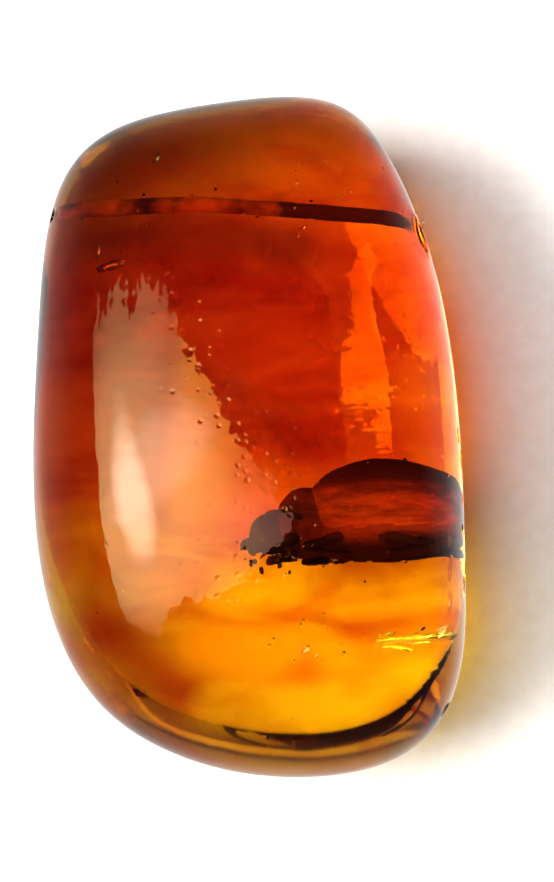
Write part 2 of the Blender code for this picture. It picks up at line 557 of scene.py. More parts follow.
@dataclass(frozen=True)
class HandPolishedAmber:
    """Clear fossil resin, ground and polished by hand: wet gloss, deep orange body, a browner skin that is
    partly old skin and partly painted light and shade.
    """

    absorbed: str = "#FBF700"          # red passes, green fades, blue is gone within a few millimetres
    density: float = 420.0
    ior: float = 1.54
    roughness: float = 0.02
    lap_pitch: float = 1.1 * MM        # unevenness left by the last lap
    lap_height: float = 0.007 * MM
    pit_pitch: float = 0.42 * MM
    pit_height: float = 0.016 * MM
    pit_width: float = 0.4             # share of the pit pitch
    pit_rarity: float = 3.0            # the higher, the fewer pits are deep
    smooth_below: float = 6.5 * MM     # the rim has kept its smooth polish, the crown is worn
    worn_above: float = 9.0 * MM
    rim_wear: float = 0.15             # share of the crown's relief
    pitted_from: tuple[float, float] = (-4.4 * MM, -2.0 * MM)      # along X, to the crown's pitted side
    unpitted_share: float = 0.12       # pits left on the other side
    zone_pitch: float = 6.0 * MM       # patches of the skin's colour, which is old skin and painted light and shade
    zone_wander: float = 7.0 * MM      # how far they stray along the stone
    reach: float = 16.0 * MM           # from the middle to either end
    zones: Stops = (
        (0.0, "#FFECD4"), (0.32, "#FFE4C4"), (0.42, "#DC7848"), (0.60, "#DE7C4C"), (0.72, "#CC582A"),
        (0.84, "#F09C54"), (0.95, "#AC7850"), (1.0, "#906848"),
    )
    mottle_pitch: float = 2.6 * MM     # cloudy patches, drawn out across the stone as the resin flowed
    flow_stretch: tuple[float, float, float] = (0.45, 1.0, 1.0)
    mottle: Stops = ((0.34, "#DC9468"), (0.56, "#FFFFFF"))
    matt_end: tuple[float, float] = (11.0 * MM, 14.0 * MM)
    matt_below: tuple[float, float] = (9.0 * MM, 6.5 * MM)
    matt_roughness: float = 0.20       # the rim at both ends was never polished
    ground_at: tuple[float, float, float] = (8.4, 8.9, 8.7)        # mm, skin ground matt by the drill
    ground_reach: tuple[float, float] = (2.0 * MM, 1.2 * MM)
    ground_roughness: float = 0.42
    stains_and_painted_light: tuple[StainAndPaintedLight, ...] = (
        StainAndPaintedLight((-6.6, -9.4, 8.5), (-3.0, -12.2, 8.5), 3.9, "#A82C00"),      # red corner at the near left
        StainAndPaintedLight((-6.5, 12.5, 8.0), (-3.0, 13.0, 8.0), 8.0, "#786044"),       # dull brown at the far left
        StainAndPaintedLight((7.6, 1.0, 9.5), (8.2, -1.8, 9.0), 3.2, "#FFE0B0"),          # pale by the right wall
        StainAndPaintedLight((8.2, -10.2, 8.5), (7.0, -11.0, 2.0), 4.5, "#FFFFFF"),       # painted light: clear at the near right, brightening the glow there
        StainAndPaintedLight((-3.0, 16.0, 6.0), (4.0, 16.0, 6.0), 3.2, "#F0AC94"),        # pinkish far rim
        StainAndPaintedLight((-2.0, -11.0, 10.0), (2.6, -11.2, 9.5), 2.0, "#FFB880"),     # orange along the near end
        StainAndPaintedLight((-1.0, -13.4, 8.5), (5.0, -13.2, 8.5), 2.2, "#FFFFFF"),      # painted light: clear at the near rim, brightening the glow there
        StainAndPaintedLight((-4.6, -3.0, 11.0), (-0.9, -5.6, 11.5), 3.2, "#FFD8A0"),     # pale by the specimen's head
        StainAndPaintedLight((-8.8, 1.0, 7.5), (-8.8, -6.0, 7.5), 3.2, "#F09850"),        # orange left flank
        StainAndPaintedLight((9.6, -2.0, 3.4), (8.2, -12.0, 3.0), 3.0, "#906466"),        # painted shade: violet-brown right foot, darkening and tinting the cast shadow beside the stone
        StainAndPaintedLight((-5.6, 4.2, 10.2), (-5.2, -1.0, 10.6), 2.5, "#C06840"),      # brown on the left
        StainAndPaintedLight((-7.5, 8.2, 10.0), (2.0, 7.2, 12.0), 2.2, "#783014"),        # dark beside the drill hole
        StainAndPaintedLight((-2.8, 1.8, 12.0), (2.4, -2.1, 12.0), 2.2, "#A04018"),       # red over the middle
    )

    def build(self) -> Material:
        """Return the material."""
        material, tree, shader = new_material("amber_hand_polished")
        place = object_place(tree)
        set_inputs(tree, shader, {"Transmission Weight": 1.0, "IOR": self.ior,
                                  "Roughness": self.skin_roughness(tree, place),
                                  "Base Color": self.skin_colour(tree, place),
                                  "Normal": self.relief(tree, place)})
        absorption = add_node(tree, "ShaderNodeVolumeAbsorption",
                              {"Color": linear(self.absorbed), "Density": self.density})
        set_inputs(tree, tree.nodes["Material Output"], {"Volume": absorption.outputs["Volume"]})
        return material

    def skin_roughness(self, tree: Tree, place: Socket) -> Socket:
        """Leave the rim matt at both ends of the stone, and the skin by the drill's right mouth.

        Args:
            tree: The material's tree.
            place: Object coordinates.

        Returns:
            The roughness.
        """
        axes = split_axes(tree, place)
        end = map_range(tree, maths(tree, 'ABSOLUTE', axes["Y"]), self.matt_end)
        low = map_range(tree, axes["Z"], self.matt_below)
        rim = map_range(tree, maths(tree, 'MULTIPLY', end, low), end=(self.roughness, self.matt_roughness))
        away = vector_maths(tree, 'DISTANCE', place, tuple(Vector(self.ground_at) * MM))
        ground = map_range(tree, away, self.ground_reach, (0.0, self.ground_roughness))
        return maths(tree, 'MAXIMUM', rim, ground)

    def skin_colour(self, tree: Tree, place: Socket) -> Socket:
        """Colour the skin along the stone, browner and redder towards the drilled end and clear at the near
        end: partly old skin, partly painted light and shade.

        Args:
            tree: The material's tree.
            place: Object coordinates.

        Returns:
            The colour.
        """
        cloud = clouds(tree, place, self.zone_pitch, 1.0, Roughness=0.6)
        wander = maths(tree, 'MULTIPLY_ADD', cloud, self.zone_wander, -self.zone_wander / 2)
        along = maths(tree, 'ADD', split_axes(tree, place)["Y"], wander)
        # painted light and shade: the near end is left clear where the lamp's light gathers, and the
        # drilled end is browner
        zones = ramp(tree, map_range(tree, along, (-self.reach, self.reach)), self.zones)
        flow = add_node(tree, "ShaderNodeMapping", {"Vector": place, "Scale": self.flow_stretch})
        patches = clouds(tree, flow.outputs["Vector"], self.mottle_pitch, 2.0, Distortion=0.6)
        colour = blend(tree, 1.0, zones, ramp(tree, patches, self.mottle), 'MULTIPLY')
        for tint in self.stains_and_painted_light:
            colour = tint.lay(tree, place, colour)
        return colour

    def relief(self, tree: Tree, place: Socket) -> Socket:
        """Lay lap marks and polishing pits over the surface.

        Args:
            tree: The material's tree.
            place: Object coordinates.

        Returns:
            The bent normal.
        """
        axes = split_axes(tree, place)
        worn = map_range(tree, axes["Z"], (self.smooth_below, self.worn_above), (self.rim_wear, 1.0))
        lap = bump(tree, clouds(tree, place, self.lap_pitch, 1.0), self.lap_height, worn)
        pits = cells(tree, place, self.pit_pitch)
        bowl = map_range(tree, pits["Distance"], (0.0, self.pit_width), (-1.0, 0.0), 'SMOOTHSTEP')
        own = add_node(tree, "ShaderNodeSeparateColor", {"Color": pits["Color"]}).outputs["Red"]
        pitted = map_range(tree, axes["X"], self.pitted_from, (self.unpitted_share, 1.0))
        some = maths(tree, 'MULTIPLY', maths(tree, 'POWER', own, self.pit_rarity), pitted)
        return bump(tree, maths(tree, 'MULTIPLY', bowl, some), self.pit_height, worn, lap)


@dataclass(frozen=True)
class Chitin:
    """Hardened beetle skin, darkened in resin: brown-black ridges, redder where thin, dull in amber."""

    name: str
    ridge: str
    thin: str
    back: str
    flank_y: float = -4.2 * MM         # the middle of the redder band along the flank, in the world's Y; away from it the colour turns to the back colour
    flank_reach: tuple[float, float] = (0.7 * MM, 1.5 * MM)
    front_x: tuple[float, float] = (5.4 * MM, 2.6 * MM)
    front_share: float = 0.6           # how far the front end is as dark as the back
    streak_pitch: float = 0.9 * MM     # streaks along the body
    streak_stretch: tuple[float, float, float] = (0.22, 1.0, 1.0)
    pore_pitch: float = 0.11 * MM      # punctures
    pore_height: float = 0.012 * MM
    pore_strength: float = 0.8
    roughness: float = 0.42
    roughness_spread: float = 0.1
    shine: float = 0.0                 # amber bends light as chitin does, so their border mirrors nothing

    def build(self) -> Material:
        """Return the material."""
        material, tree, shader = new_material(self.name)
        place = object_place(tree)
        axes = split_axes(tree, place)
        along = add_node(tree, "ShaderNodeMapping", {"Vector": place, "Scale": self.streak_stretch})
        streaks = clouds(tree, along.outputs["Vector"], self.streak_pitch, 4.0, Roughness=0.6)
        colour = ramp(tree, streaks, ((0.38, self.ridge), (0.62, self.thin)))
        away = maths(tree, 'ABSOLUTE', maths(tree, 'SUBTRACT', axes["Y"], self.flank_y))
        edge = map_range(tree, away, self.flank_reach, shape='SMOOTHSTEP')
        front = map_range(tree, axes["X"], self.front_x, (0.0, self.front_share))
        gloss = (self.roughness - self.roughness_spread, self.roughness + self.roughness_spread)
        pores = cells(tree, place, self.pore_pitch)
        set_inputs(tree, shader, {
            "Base Color": blend(tree, maths(tree, 'MAXIMUM', edge, front), colour, linear(self.back)),
            "Roughness": map_range(tree, streaks, end=gloss),
            "Normal": bump(tree, pores["Distance"], self.pore_height, self.pore_strength),
            "Specular IOR Level": self.shine})
        return material


@dataclass(frozen=True)
class EarthyCrumb:
    """Plant and soil crumbs, dull and ragged: matt dark brown that never shines."""

    name: str
    dark: str
    light: str
    grain_pitch: float = 0.12 * MM
    grain_height: float = 0.03 * MM
    grain_strength: float = 0.9
    roughness: float = 0.85
    shine: float = 0.15

    def build(self) -> Material:
        """Return the material."""
        material, tree, shader = new_material(self.name)
        grain = clouds(tree, object_place(tree), self.grain_pitch, 5.0, Roughness=0.65)
        set_inputs(tree, shader, {"Base Color": ramp(tree, grain, ((0.40, self.dark), (0.65, self.light))),
                                  "Normal": bump(tree, grain, self.grain_height, self.grain_strength),
                                  "Roughness": self.roughness, "Specular IOR Level": self.shine})
        return material


@dataclass(frozen=True)
class StainedAmber:
    """Amber crazed and stained by drilling dust: matt and earthy, redder where less dirt has worked in."""

    name: str = "amber_drill_stained"
    clean: str = "#C0561A"
    dirty: str = "#421206"
    dirty_from: tuple[float, float] = (-1.0 * MM, 6.5 * MM)        # along X, to where the dirt is full
    dirt_stops: tuple[float, float] = (0.45, 0.71875)
    patch_pitch: float = 1.6 * MM
    roughness: float = 0.9
    shine: float = 0.05

    def build(self) -> Material:
        """Return the material."""
        material, tree, shader = new_material(self.name)
        place = object_place(tree)
        along = map_range(tree, split_axes(tree, place)["X"], self.dirty_from, shape='SMOOTHSTEP')
        dirt = maths(tree, 'ADD', along, clouds(tree, place, self.patch_pitch, 3.0))
        stops = tuple(zip(self.dirt_stops, (self.clean, self.dirty)))
        set_inputs(tree, shader, {"Base Color": ramp(tree, dirt, stops), "Roughness": self.roughness,
                                  "Specular IOR Level": self.shine})
        return material


@dataclass(frozen=True)
class CardPaper:
    """Smooth white card under the stone: matt, faintly fibrous, and evenly lit away from the lamps."""

    white: str = "#F1F0EE"
    fibre: str = "#ECEAE7"
    fibre_pitch: float = 0.8 * MM
    even_light: tuple[float, float] = (0.12, 0.8)                  # metres from the stone, to its full
    far_light: float = 0.86
    roughness: float = 0.9
    shine: float = 0.0

    def build(self) -> Material:
        """Return the material."""
        material, tree, shader = new_material("card_paper_matt")
        place = object_place(tree)
        fibres = clouds(tree, place, self.fibre_pitch, 3.0)
        away = vector_maths(tree, 'LENGTH', place)
        glow = map_range(tree, away, self.even_light, (0.0, self.far_light), 'SMOOTHSTEP')
        set_inputs(tree, shader, {
            "Base Color": ramp(tree, fibres, ((0.35, self.fibre), (0.65, self.white))),
            "Roughness": self.roughness, "Specular IOR Level": self.shine,
            "Emission Color": linear(self.white), "Emission Strength": glow})
        return material


# ---------------------------------------------------------------- strewn lumps


@dataclass(frozen=True)
class LumpScatter:
    """Geometry Nodes tree that strews small closed lumps through a box-shaped region."""

    name: str = "lump_scatter"
    id_shift: float = 9000.0           # keeps the draw along the line apart from the other draws
    bump_pitch: float = 0.9            # bumps of the raggedness on the largest lump
    subdivisions: int = 3

    def tree(self) -> Tree:
        """Return the tree, with its sizes as named inputs."""
        tree = bpy.data.node_groups.new(self.name, 'GeometryNodeTree')
        face = tree.interface
        face.new_socket("Geometry", in_out='INPUT', socket_type='NodeSocketGeometry')
        for label, kind in (("Count", 'NodeSocketInt'), ("Seed", 'NodeSocketInt'),
                            ("Centre", 'NodeSocketVector'), ("Reach", 'NodeSocketVector'),
                            ("Along", 'NodeSocketVector'), ("Flatness", 'NodeSocketFloat'),
                            ("Smallest", 'NodeSocketFloat'), ("Largest", 'NodeSocketFloat'),
                            ("Raggedness", 'NodeSocketFloat'), ("Finish", 'NodeSocketMaterial')):
            face.new_socket(label, in_out='INPUT', socket_type=kind)
        face.new_socket("Geometry", in_out='OUTPUT', socket_type='NodeSocketGeometry')
        given = add_node(tree, "NodeGroupInput").outputs
        size = self.draw(tree, {2: given["Smallest"], 3: given["Largest"], "Seed": given["Seed"]})
        thin = maths(tree, 'MULTIPLY', size, given["Flatness"])
        sizes = add_node(tree, "ShaderNodeCombineXYZ", {"X": size, "Y": size, "Z": thin})
        spin = self.draw(tree, {0: (0.0, 0.0, 0.0), 1: (math.tau,) * 3, "Seed": given["Seed"]},
                         'FLOAT_VECTOR')
        points = add_node(tree, "GeometryNodePoints", {"Count": given["Count"],
                                                       "Position": self.spots(tree, given)})
        ball = add_node(tree, "GeometryNodeMeshIcoSphere",
                        {"Radius": 1.0, "Subdivisions": self.subdivisions})
        lumps = add_node(tree, "GeometryNodeInstanceOnPoints",
                         {"Points": points.outputs["Points"], "Instance": ball.outputs["Mesh"],
                          "Rotation": spin, "Scale": sizes.outputs["Vector"]})
        real = add_node(tree, "GeometryNodeRealizeInstances", {"Geometry": lumps.outputs["Instances"]})
        pitch = maths(tree, 'DIVIDE', self.bump_pitch, given["Largest"])
        rough = add_node(tree, "ShaderNodeTexNoise", {"Scale": pitch, "Detail": 1.0}, normalize=False)
        push = maths(tree, 'MULTIPLY', rough.outputs["Fac"], given["Raggedness"])
        normal = add_node(tree, "GeometryNodeInputNormal").outputs["Normal"]
        offset = vector_maths(tree, 'SCALE', normal, scale=push)
        shaped = add_node(tree, "GeometryNodeSetPosition", {"Geometry": real.outputs["Geometry"],
                                                            "Offset": offset})
        done = add_node(tree, "GeometryNodeSetMaterial", {"Geometry": shaped.outputs["Geometry"],
                                                          "Material": given["Finish"]})
        add_node(tree, "NodeGroupOutput", {"Geometry": done.outputs["Geometry"]})
        return tree

    def draw(self, tree: Tree, inputs: dict, kind: str = 'FLOAT') -> Socket:
        """Draw a random value for each lump.

        Args:
            tree: The scatter tree.
            inputs: The range, at 2 and 3 for a number or at 0 and 1 for a vector, and the seed.
            kind: The Random Value node's data type.

        Returns:
            The value.
        """
        node = add_node(tree, "FunctionNodeRandomValue", inputs, data_type=kind)
        return node.outputs[1 if kind == 'FLOAT' else 0]

    def spots(self, tree: Tree, given: bpy.types.NodeOutputs) -> Socket:
        """Draw a place for each lump: anywhere in the region, which may be drawn out along a line.

        Args:
            tree: The scatter tree.
            given: The tree's named inputs.

        Returns:
            The places.
        """
        lot = self.draw(tree, {0: (-1.0, -1.0, -1.0), 1: (1.0, 1.0, 1.0), "Seed": given["Seed"]},
                        'FLOAT_VECTOR')
        spot = vector_maths(tree, 'MULTIPLY_ADD', lot, given["Reach"], given["Centre"])
        order = add_node(tree, "GeometryNodeInputIndex").outputs["Index"]
        share = self.draw(tree, {2: -1.0, 3: 1.0, "Seed": given["Seed"],
                                 "ID": maths(tree, 'ADD', order, self.id_shift)})
        return vector_maths(tree, 'ADD', spot, vector_maths(tree, 'SCALE', given["Along"], scale=share))


@dataclass(frozen=True)
class Lumps:
    """One lot of small lumps, in millimetres."""

    name: str
    count: int
    seed: int
    centre: tuple[float, float, float]
    reach: tuple[float, float, float]
    smallest: float
    largest: float
    raggedness: float = 0.0
    along: tuple[float, float, float] = (0.0, 0.0, 0.0)
    flatness: float = 1.0

    def build(self, tree: Tree, finish: Material) -> Piece:
        """Strew the lumps and make them a plain mesh.

        Args:
            tree: The scatter tree.
            finish: The lumps' material.

        Returns:
            The lumps as one object.
        """
        piece = new_piece(self.name, bmesh.new())
        step = piece.modifiers.new("Scatter", 'NODES')
        step.node_group = tree
        given = {"Count": self.count, "Seed": self.seed, "Centre": [c * MM for c in self.centre],
                 "Reach": [r * MM for r in self.reach], "Along": [a * MM for a in self.along],
                 "Flatness": self.flatness, "Smallest": self.smallest * MM,
                 "Largest": self.largest * MM, "Raggedness": self.raggedness * MM, "Finish": finish}
        for item in tree.interface.items_tree:
            if item.in_out == 'INPUT' and item.name in given:
                step[item.identifier] = given[item.name]
        freeze(piece)
        piece.data.shade_smooth()
        return piece


FLAKE = 0.12                           # a flat flake's thickness, as a share of its width
CRUMBS = (
    Lumps("crumbs_by_head", 30, 3, (1.2, -5.9, 6.4), (1.3, 0.7, 0.6), 0.03, 0.11, 0.05),
    Lumps("crumbs_in_amber", 14, 8, (1.0, 2.0, 7.0), (7.0, 10.0, 1.8), 0.025, 0.06, 0.02),
)
DRILL_DIRT = (
    Lumps("drill_dirt_right", 120, 22, (4.9, 9.13, 7.64), (0.1, 0.24, 0.24), 0.05, 0.11, 0.03,
          (2.2, -0.14, 0.18)),
    Lumps("drill_dirt_left", 50, 23, (-6.8, 9.89, 6.71), (0.1, 0.24, 0.24), 0.05, 0.10, 0.03,
          (1.2, -0.08, 0.10)),
)


# ---------------------------------------------------------------- the amber


@dataclass(frozen=True)
class Flaw:
    """A thin crack inside the amber: a gas-filled gap like a curved flake, in millimetres."""

    centre: tuple[float, float, float]
    facing: tuple[float, float, float]
    long_axis: tuple[float, float, float]
    reach: tuple[float, float]
    bow: float
    seed: float
    gap: float = 0.006
    raggedness: float = 0.22           # share of the reach
    rag_rate: float = 2.2              # the higher, the more points its edge has
    ripple: float = 0.05               # share of the bow
    ripple_rate: float = 9.0           # radians of ripple from the middle to the edge
    ripple_crowding: float = 1.4       # above 1, the ripples crowd towards the edge
    sides: int = 48
    rings: int = 12

    def form(self) -> Form:
        """Return the gap as a closed bmesh, its faces turned outwards."""
        normal = Vector(self.facing).normalized()
        first = Vector(self.long_axis)
        first = (first - normal * first.dot(normal)).normalized()
        axes = (first, normal.cross(first), normal)
        middle = Vector(self.centre) * MM
        form = bmesh.new()
        layers = [[[form.verts.new(middle + self.spot(ring, side, sign, axes))
                    for side in range(self.sides)] for ring in range(self.rings)] for sign in (1, -1)]
        rim = [form.verts.new(middle + self.spot(self.rings, side, 0, axes)) for side in range(self.sides)]
        for rows in layers:
            chain = rows + [rim]
            for inner, outer in zip(chain, chain[1:]):
                bridge(form, inner, outer)
            form.faces.new(rows[0])
        bmesh.ops.recalc_face_normals(form, faces=form.faces)
        return form

    def spot(self, ring: int, side: int, sign: int, axes: tuple[Vector, Vector, Vector]) -> Vector:
        """Place one point of the gap, from its middle.

        Args:
            ring: The ring, from the middle out.
            side: The place round the ring.
            sign: 1 for the front wall, -1 for the back wall, 0 for the edge.
            axes: The long axis, the short axis and what the gap faces.

        Returns:
            The offset in metres.
        """
        share = (ring + 1) / (self.rings + 1)
        turn = math.tau * side / self.sides
        rag = Vector((math.cos(turn) * self.rag_rate, math.sin(turn) * self.rag_rate, self.seed))
        ragged = 1 + self.raggedness * noise.noise(rag)
        u = math.cos(turn) * share * ragged
        v = math.sin(turn) * share * ragged
        ripple = self.ripple * math.cos(self.ripple_rate * share ** self.ripple_crowding)
        lift = self.bow * (share ** 2) + ripple * self.bow
        thick = sign * self.gap / 2 * math.sqrt(max(0.0, 1 - share ** 2))
        return (axes[0] * u * self.reach[0] + axes[1] * v * self.reach[1] + axes[2] * (lift + thick)) * MM


@dataclass(frozen=True)
class Chip:
    """A shell-like break in the amber's edge: where it sits and how far it bites, in millimetres."""

    turn: float
    height: float
    radius: float
    bite: float
    seed: float


@dataclass
class AmberStone:
    """The amber: a hand-polished pebble, drilled through, with its chips, cracks and bubbles."""

    low: Vector
    high: Vector
    girdle_height: float = 5.0 * MM
    underside_share: float = 0.48
    crown_power: float = 2.20
    rim_power: float = 1.9
    crown_lean: tuple[float, float] = (1.3 * MM, 2.0 * MM)
    segments: int = 320
    underside_rings: int = 3
    rim_rings: int = 28
    crown_rings: int = 92
    outline_corners: tuple[tuple[float, float], ...] = (
        (10.2, 0.0), (9.5, 6.2), (8.1, 10.8), (5.9, 15.2), (3.0, 16.5), (-2.0, 15.9), (-7.2, 14.9),
        (-9.7, 11.8), (-10.1, 5.6), (-10.4, -1.0), (-10.0, -7.4), (-7.8, -12.6), (-3.8, -15.3),
        (1.6, -16.5), (7.3, -15.8), (10.4, -12.4), (10.3, -6.0),
    )
    bore_radius: float = 0.30 * MM
    bore_ends: Points = ((-13.0, 10.3, 6.2), (13.0, 8.6, 8.3))
    bore_sides: int = 32
    bore_steps: int = 24
    stained_share: tuple[float, float] = (0.17, 0.765)
    stain_start: float = 1.02          # bore radii, just behind the wall
    mouth_radii: tuple[float, float] = (0.95 * MM, 1.35 * MM)
    mouth_centres: Points = ((-9.95, 10.21, 6.73), (8.73, 9.19, 8.15))
    mouth_seed: float = 20.0
    break_ripple: float = 0.012        # share of a break's radius
    ripple_rate: float = 26.0          # radians of ripple per radius
    ripple_turn: float = 2.4           # what the seed turns the ripples by
    ripple_height: float = 0.3
    break_lump: float = 0.07           # share of a break's radius
    lump_rate: float = 1.8             # lumps per radius
    waves: Points = ((5.5, 0.030, 3.0), (1.7, 0.0040, 11.0))       # pitch and height in mm, and seed
    waves_from: float = 1.0 * MM       # height above the underside where they are full
    chips: tuple[Chip, ...] = (
        Chip(0.985, 6.3, 1.1, 0.16, 1.0), Chip(0.995, 7.0, 0.8, 0.12, 2.0),
        Chip(0.965, 6.6, 0.7, 0.10, 3.0), Chip(0.935, 6.0, 1.0, 0.20, 4.0),
        Chip(0.950, 6.9, 0.6, 0.10, 5.0), Chip(0.925, 6.8, 0.8, 0.12, 6.0),
        Chip(0.865, 5.6, 0.9, 0.16, 7.0), Chip(0.085, 8.0, 0.5, 0.08, 8.0),
        Chip(0.105, 8.4, 0.6, 0.10, 9.0),
    )
    flaws: tuple[Flaw, ...] = (
        # the bright crack near the end, with its two glints and its tail
        Flaw((7.3, -9.6, 6.6), (-0.05, -0.80, 0.60), (1.0, 0.12, 0.0), (1.7, 0.26), 0.10, 1.0),
        Flaw((8.36, -9.68, 7.44), (0.21, -0.15, 0.97), (1.0, 0.25, 0.0), (0.60, 0.30), 0.04, 5.0),
        Flaw((7.4, -9.75, 7.3), (0.10, -0.14, 0.98), (1.0, 0.15, 0.0), (0.40, 0.09), 0.03, 15.0),
        Flaw((6.4, -9.9, 6.3), (-0.20, -0.85, 0.50), (1.0, 0.05, 0.0), (0.6, 0.16), 0.06, 4.0),
        # glints at the left
        Flaw((-5.99, 6.87, 9.07), (-0.36, -0.05, 0.93), (1.0, 0.15, 0.0), (0.70, 0.22), 0.07, 2.0),
        Flaw((-6.53, 7.62, 8.72), (-0.41, -0.05, 0.91), (0.2, 1.0, 0.0), (0.36, 0.08), 0.04, 6.0),
        Flaw((-4.07, 11.79, 9.0), (-0.26, 0.10, 0.96), (0.5, 1.0, 0.0), (0.34, 0.11), 0.05, 3.0),
        # sparkles down the right wall
        Flaw((8.52, -5.56, 7.74), (0.40, -0.02, 0.91), (0.0, 1.0, 0.0), (0.6, 0.12), 0.05, 9.0),
        Flaw((8.54, -6.92, 7.73), (0.36, -0.10, 0.93), (0.1, 1.0, 0.0), (0.6, 0.14), 0.04, 10.0),
        Flaw((8.58, -8.32, 7.60), (0.36, -0.05, 0.93), (0.0, 1.0, 0.0), (0.5, 0.16), 0.04, 11.0),
        # specks near the end and below the drill hole
        Flaw((2.57, -10.86, 9.69), (-0.15, -0.21, 0.97), (1.0, 0.2, 0.0), (0.18, 0.13), 0.02, 13.0),
        Flaw((3.06, -11.07, 9.60), (-0.15, -0.21, 0.97), (1.0, 0.9, 0.0), (0.12, 0.08), 0.02, 14.0),
        Flaw((2.52, 8.21, 10.84), (-0.16, 0.0, 0.99), (1.0, 0.6, 0.0), (0.20, 0.06), 0.03, 16.0),
        Flaw((2.25, 7.75, 10.9), (-0.16, 0.0, 0.99), (0.3, 1.0, 0.0), (0.16, 0.05), 0.03, 17.0),
    )
    bubbles: tuple[Lumps, ...] = (
        Lumps("bubbles_near_end", 9, 5, (2.5, -9.8, 7.4), (1.8, 0.9, 1.2), 0.05, 0.11),
        Lumps("bubbles_middle", 10, 9, (-1.0, 0.0, 7.0), (6.0, 9.0, 2.2), 0.03, 0.08),
        Lumps("bubbles_far_end", 8, 14, (4.2, 10.6, 8.2), (2.2, 1.3, 1.2), 0.03, 0.08),
        Lumps("flakes_by_crack", 14, 4, (7.2, -9.4, 6.9), (0.1, 0.12, 0.15), 0.05, 0.13,
              along=(1.6, 0.15, -0.1), flatness=FLAKE),
        Lumps("flakes_by_wall", 22, 6, (9.1, -0.6, 5.2), (0.12, 0.1, 0.8), 0.05, 0.12,
              along=(0.1, 1.8, 0.0), flatness=FLAKE),
        Lumps("flakes_by_mouth", 12, 7, (7.6, 9.0, 8.0), (0.5, 0.9, 0.3), 0.04, 0.10, flatness=FLAKE),
        Lumps("flakes_far_left", 12, 12, (-6.0, 9.2, 8.6), (1.8, 2.6, 0.5), 0.03, 0.09, flatness=FLAKE),
    )

    def outline(self) -> list[Vector]:
        """Return the stone's widest line in plan: a closed cubic spline, scaled to the stone's box."""
        corners = [Vector(c) for c in self.outline_corners]
        loop = []
        for k in range(self.segments):
            place = k / self.segments * len(corners)
            first = int(place)
            t = place - first
            weights = ((1 - t) ** 3, 3 * t ** 3 - 6 * t ** 2 + 4,
                       -3 * t ** 3 + 3 * t ** 2 + 3 * t + 1, t ** 3)
            around = [corners[(first + n - 1) % len(corners)] for n in range(4)]
            loop.append(sum((w * p for w, p in zip(weights, around)), Vector((0.0, 0.0))) / 6)
        least = Vector((min(p.x for p in loop), min(p.y for p in loop)))
        most = Vector((max(p.x for p in loop), max(p.y for p in loop)))
        middle = (least + most) / 2
        scale = Vector(((self.high.x - self.low.x) / (most.x - least.x),
                        (self.high.y - self.low.y) / (most.y - least.y)))
        return [(p - middle) * scale for p in loop]

    def sections(self) -> list[tuple[float, float, float]]:
        """Return height, outline share and lean share of each ring, from the underside up."""
        top = self.high.z
        rows = [(0.0, self.underside_share * (k + 1) / (self.underside_rings + 1), 0.0)
                for k in range(self.underside_rings)]
        for k in range(self.rim_rings):
            angle = math.pi / 2 * k / self.rim_rings
            reach = math.sin(angle) ** (2 / self.rim_power)
            rows.append((self.girdle_height * (1 - math.cos(angle) ** (2 / self.rim_power)),
                         self.underside_share + (1 - self.underside_share) * reach, 0.0))
        for k in range(self.crown_rings):
            rise = math.sin(math.pi / 2 * k / self.crown_rings) ** (2 / self.crown_power)
            share = (1 - rise ** self.crown_power) ** (1 / self.crown_power)
            rows.append((self.girdle_height + (top - self.girdle_height) * rise, share, rise ** 2))
        return rows

    def spot(self, outline: list[Vector], turn: float, height: float) -> tuple[Vector, Vector]:
        """Find a point of the crown and what it faces.

        Args:
            outline: The widest line in plan.
            turn: The share of the way round it.
            height: The height in metres, above the girdle.

        Returns:
            The point and its outward direction.
        """
        rise = (height - self.girdle_height) / (self.high.z - self.girdle_height)
        share = (1 - rise ** self.crown_power) ** (1 / self.crown_power)
        k = round(turn * self.segments) % self.segments
        plan = outline[k] * share + Vector(self.crown_lean) * rise ** 2
        along = outline[(k + 1) % self.segments] - outline[k - 1]
        out = Vector((along.y, -along.x)).normalized()
        return Vector((*plan, height)), Vector((*out, rise)).normalized()

    def body(self) -> Piece:
        """Return the pebble, closed and gently uneven, before anything is cut into it."""
        form = bmesh.new()
        outline = self.outline()
        rings = []
        for height, share, lean in self.sections():
            shift = Vector(self.crown_lean) * lean
            rings.append([form.verts.new((*(p * share + shift), height)) for p in outline])
        for lower, upper in zip(rings, rings[1:]):
            bridge(form, lower, upper)
        close_end(form, rings[0], Vector((0, 0, 0)))
        close_end(form, rings[-1], Vector((*self.crown_lean, self.high.z)))
        bmesh.ops.recalc_face_normals(form, faces=form.faces)
        self.make_uneven(form)
        return new_piece("amber", form)

    def make_uneven(self, form: Form) -> None:
        """Give the pebble the slight waves of hand grinding, all but its flat underside.

        Args:
            form: The pebble.
        """
        form.normal_update()
        for vertex in form.verts:
            fade = min(1.0, vertex.co.z / self.waves_from)
            rise = sum(height * noise.noise(vertex.co / (pitch * MM) + Vector((seed, 0, 0)))
                       for pitch, height, seed in self.waves)
            vertex.co += vertex.normal * (rise - self.waves[0][1] / 2) * MM * fade

    def cutters(self) -> list[tuple[Cut, Form]]:
        """Return the forms of the drill hole, its broken mouths and the chips."""
        start, end = (Vector(p) * MM for p in self.bore_ends)
        path = [start.lerp(end, k / self.bore_steps) for k in range(self.bore_steps + 1)]
        forms = [(Cut.BORE, tube_form(path, [self.bore_radius] * len(path), self.bore_sides))]
        for k, (centre, radius) in enumerate(zip(self.mouth_centres, self.mouth_radii)):
            forms.append((Cut.MOUTH, self.shell_break(Vector(centre) * MM, radius, self.mouth_seed + k)))
        outline = self.outline()
        for chip in self.chips:
            place, facing = self.spot(outline, chip.turn, chip.height * MM)
            centre = place + facing * (chip.radius - chip.bite) * MM
            forms.append((Cut.CHIP, self.shell_break(centre, chip.radius * MM, chip.seed)))
        return forms

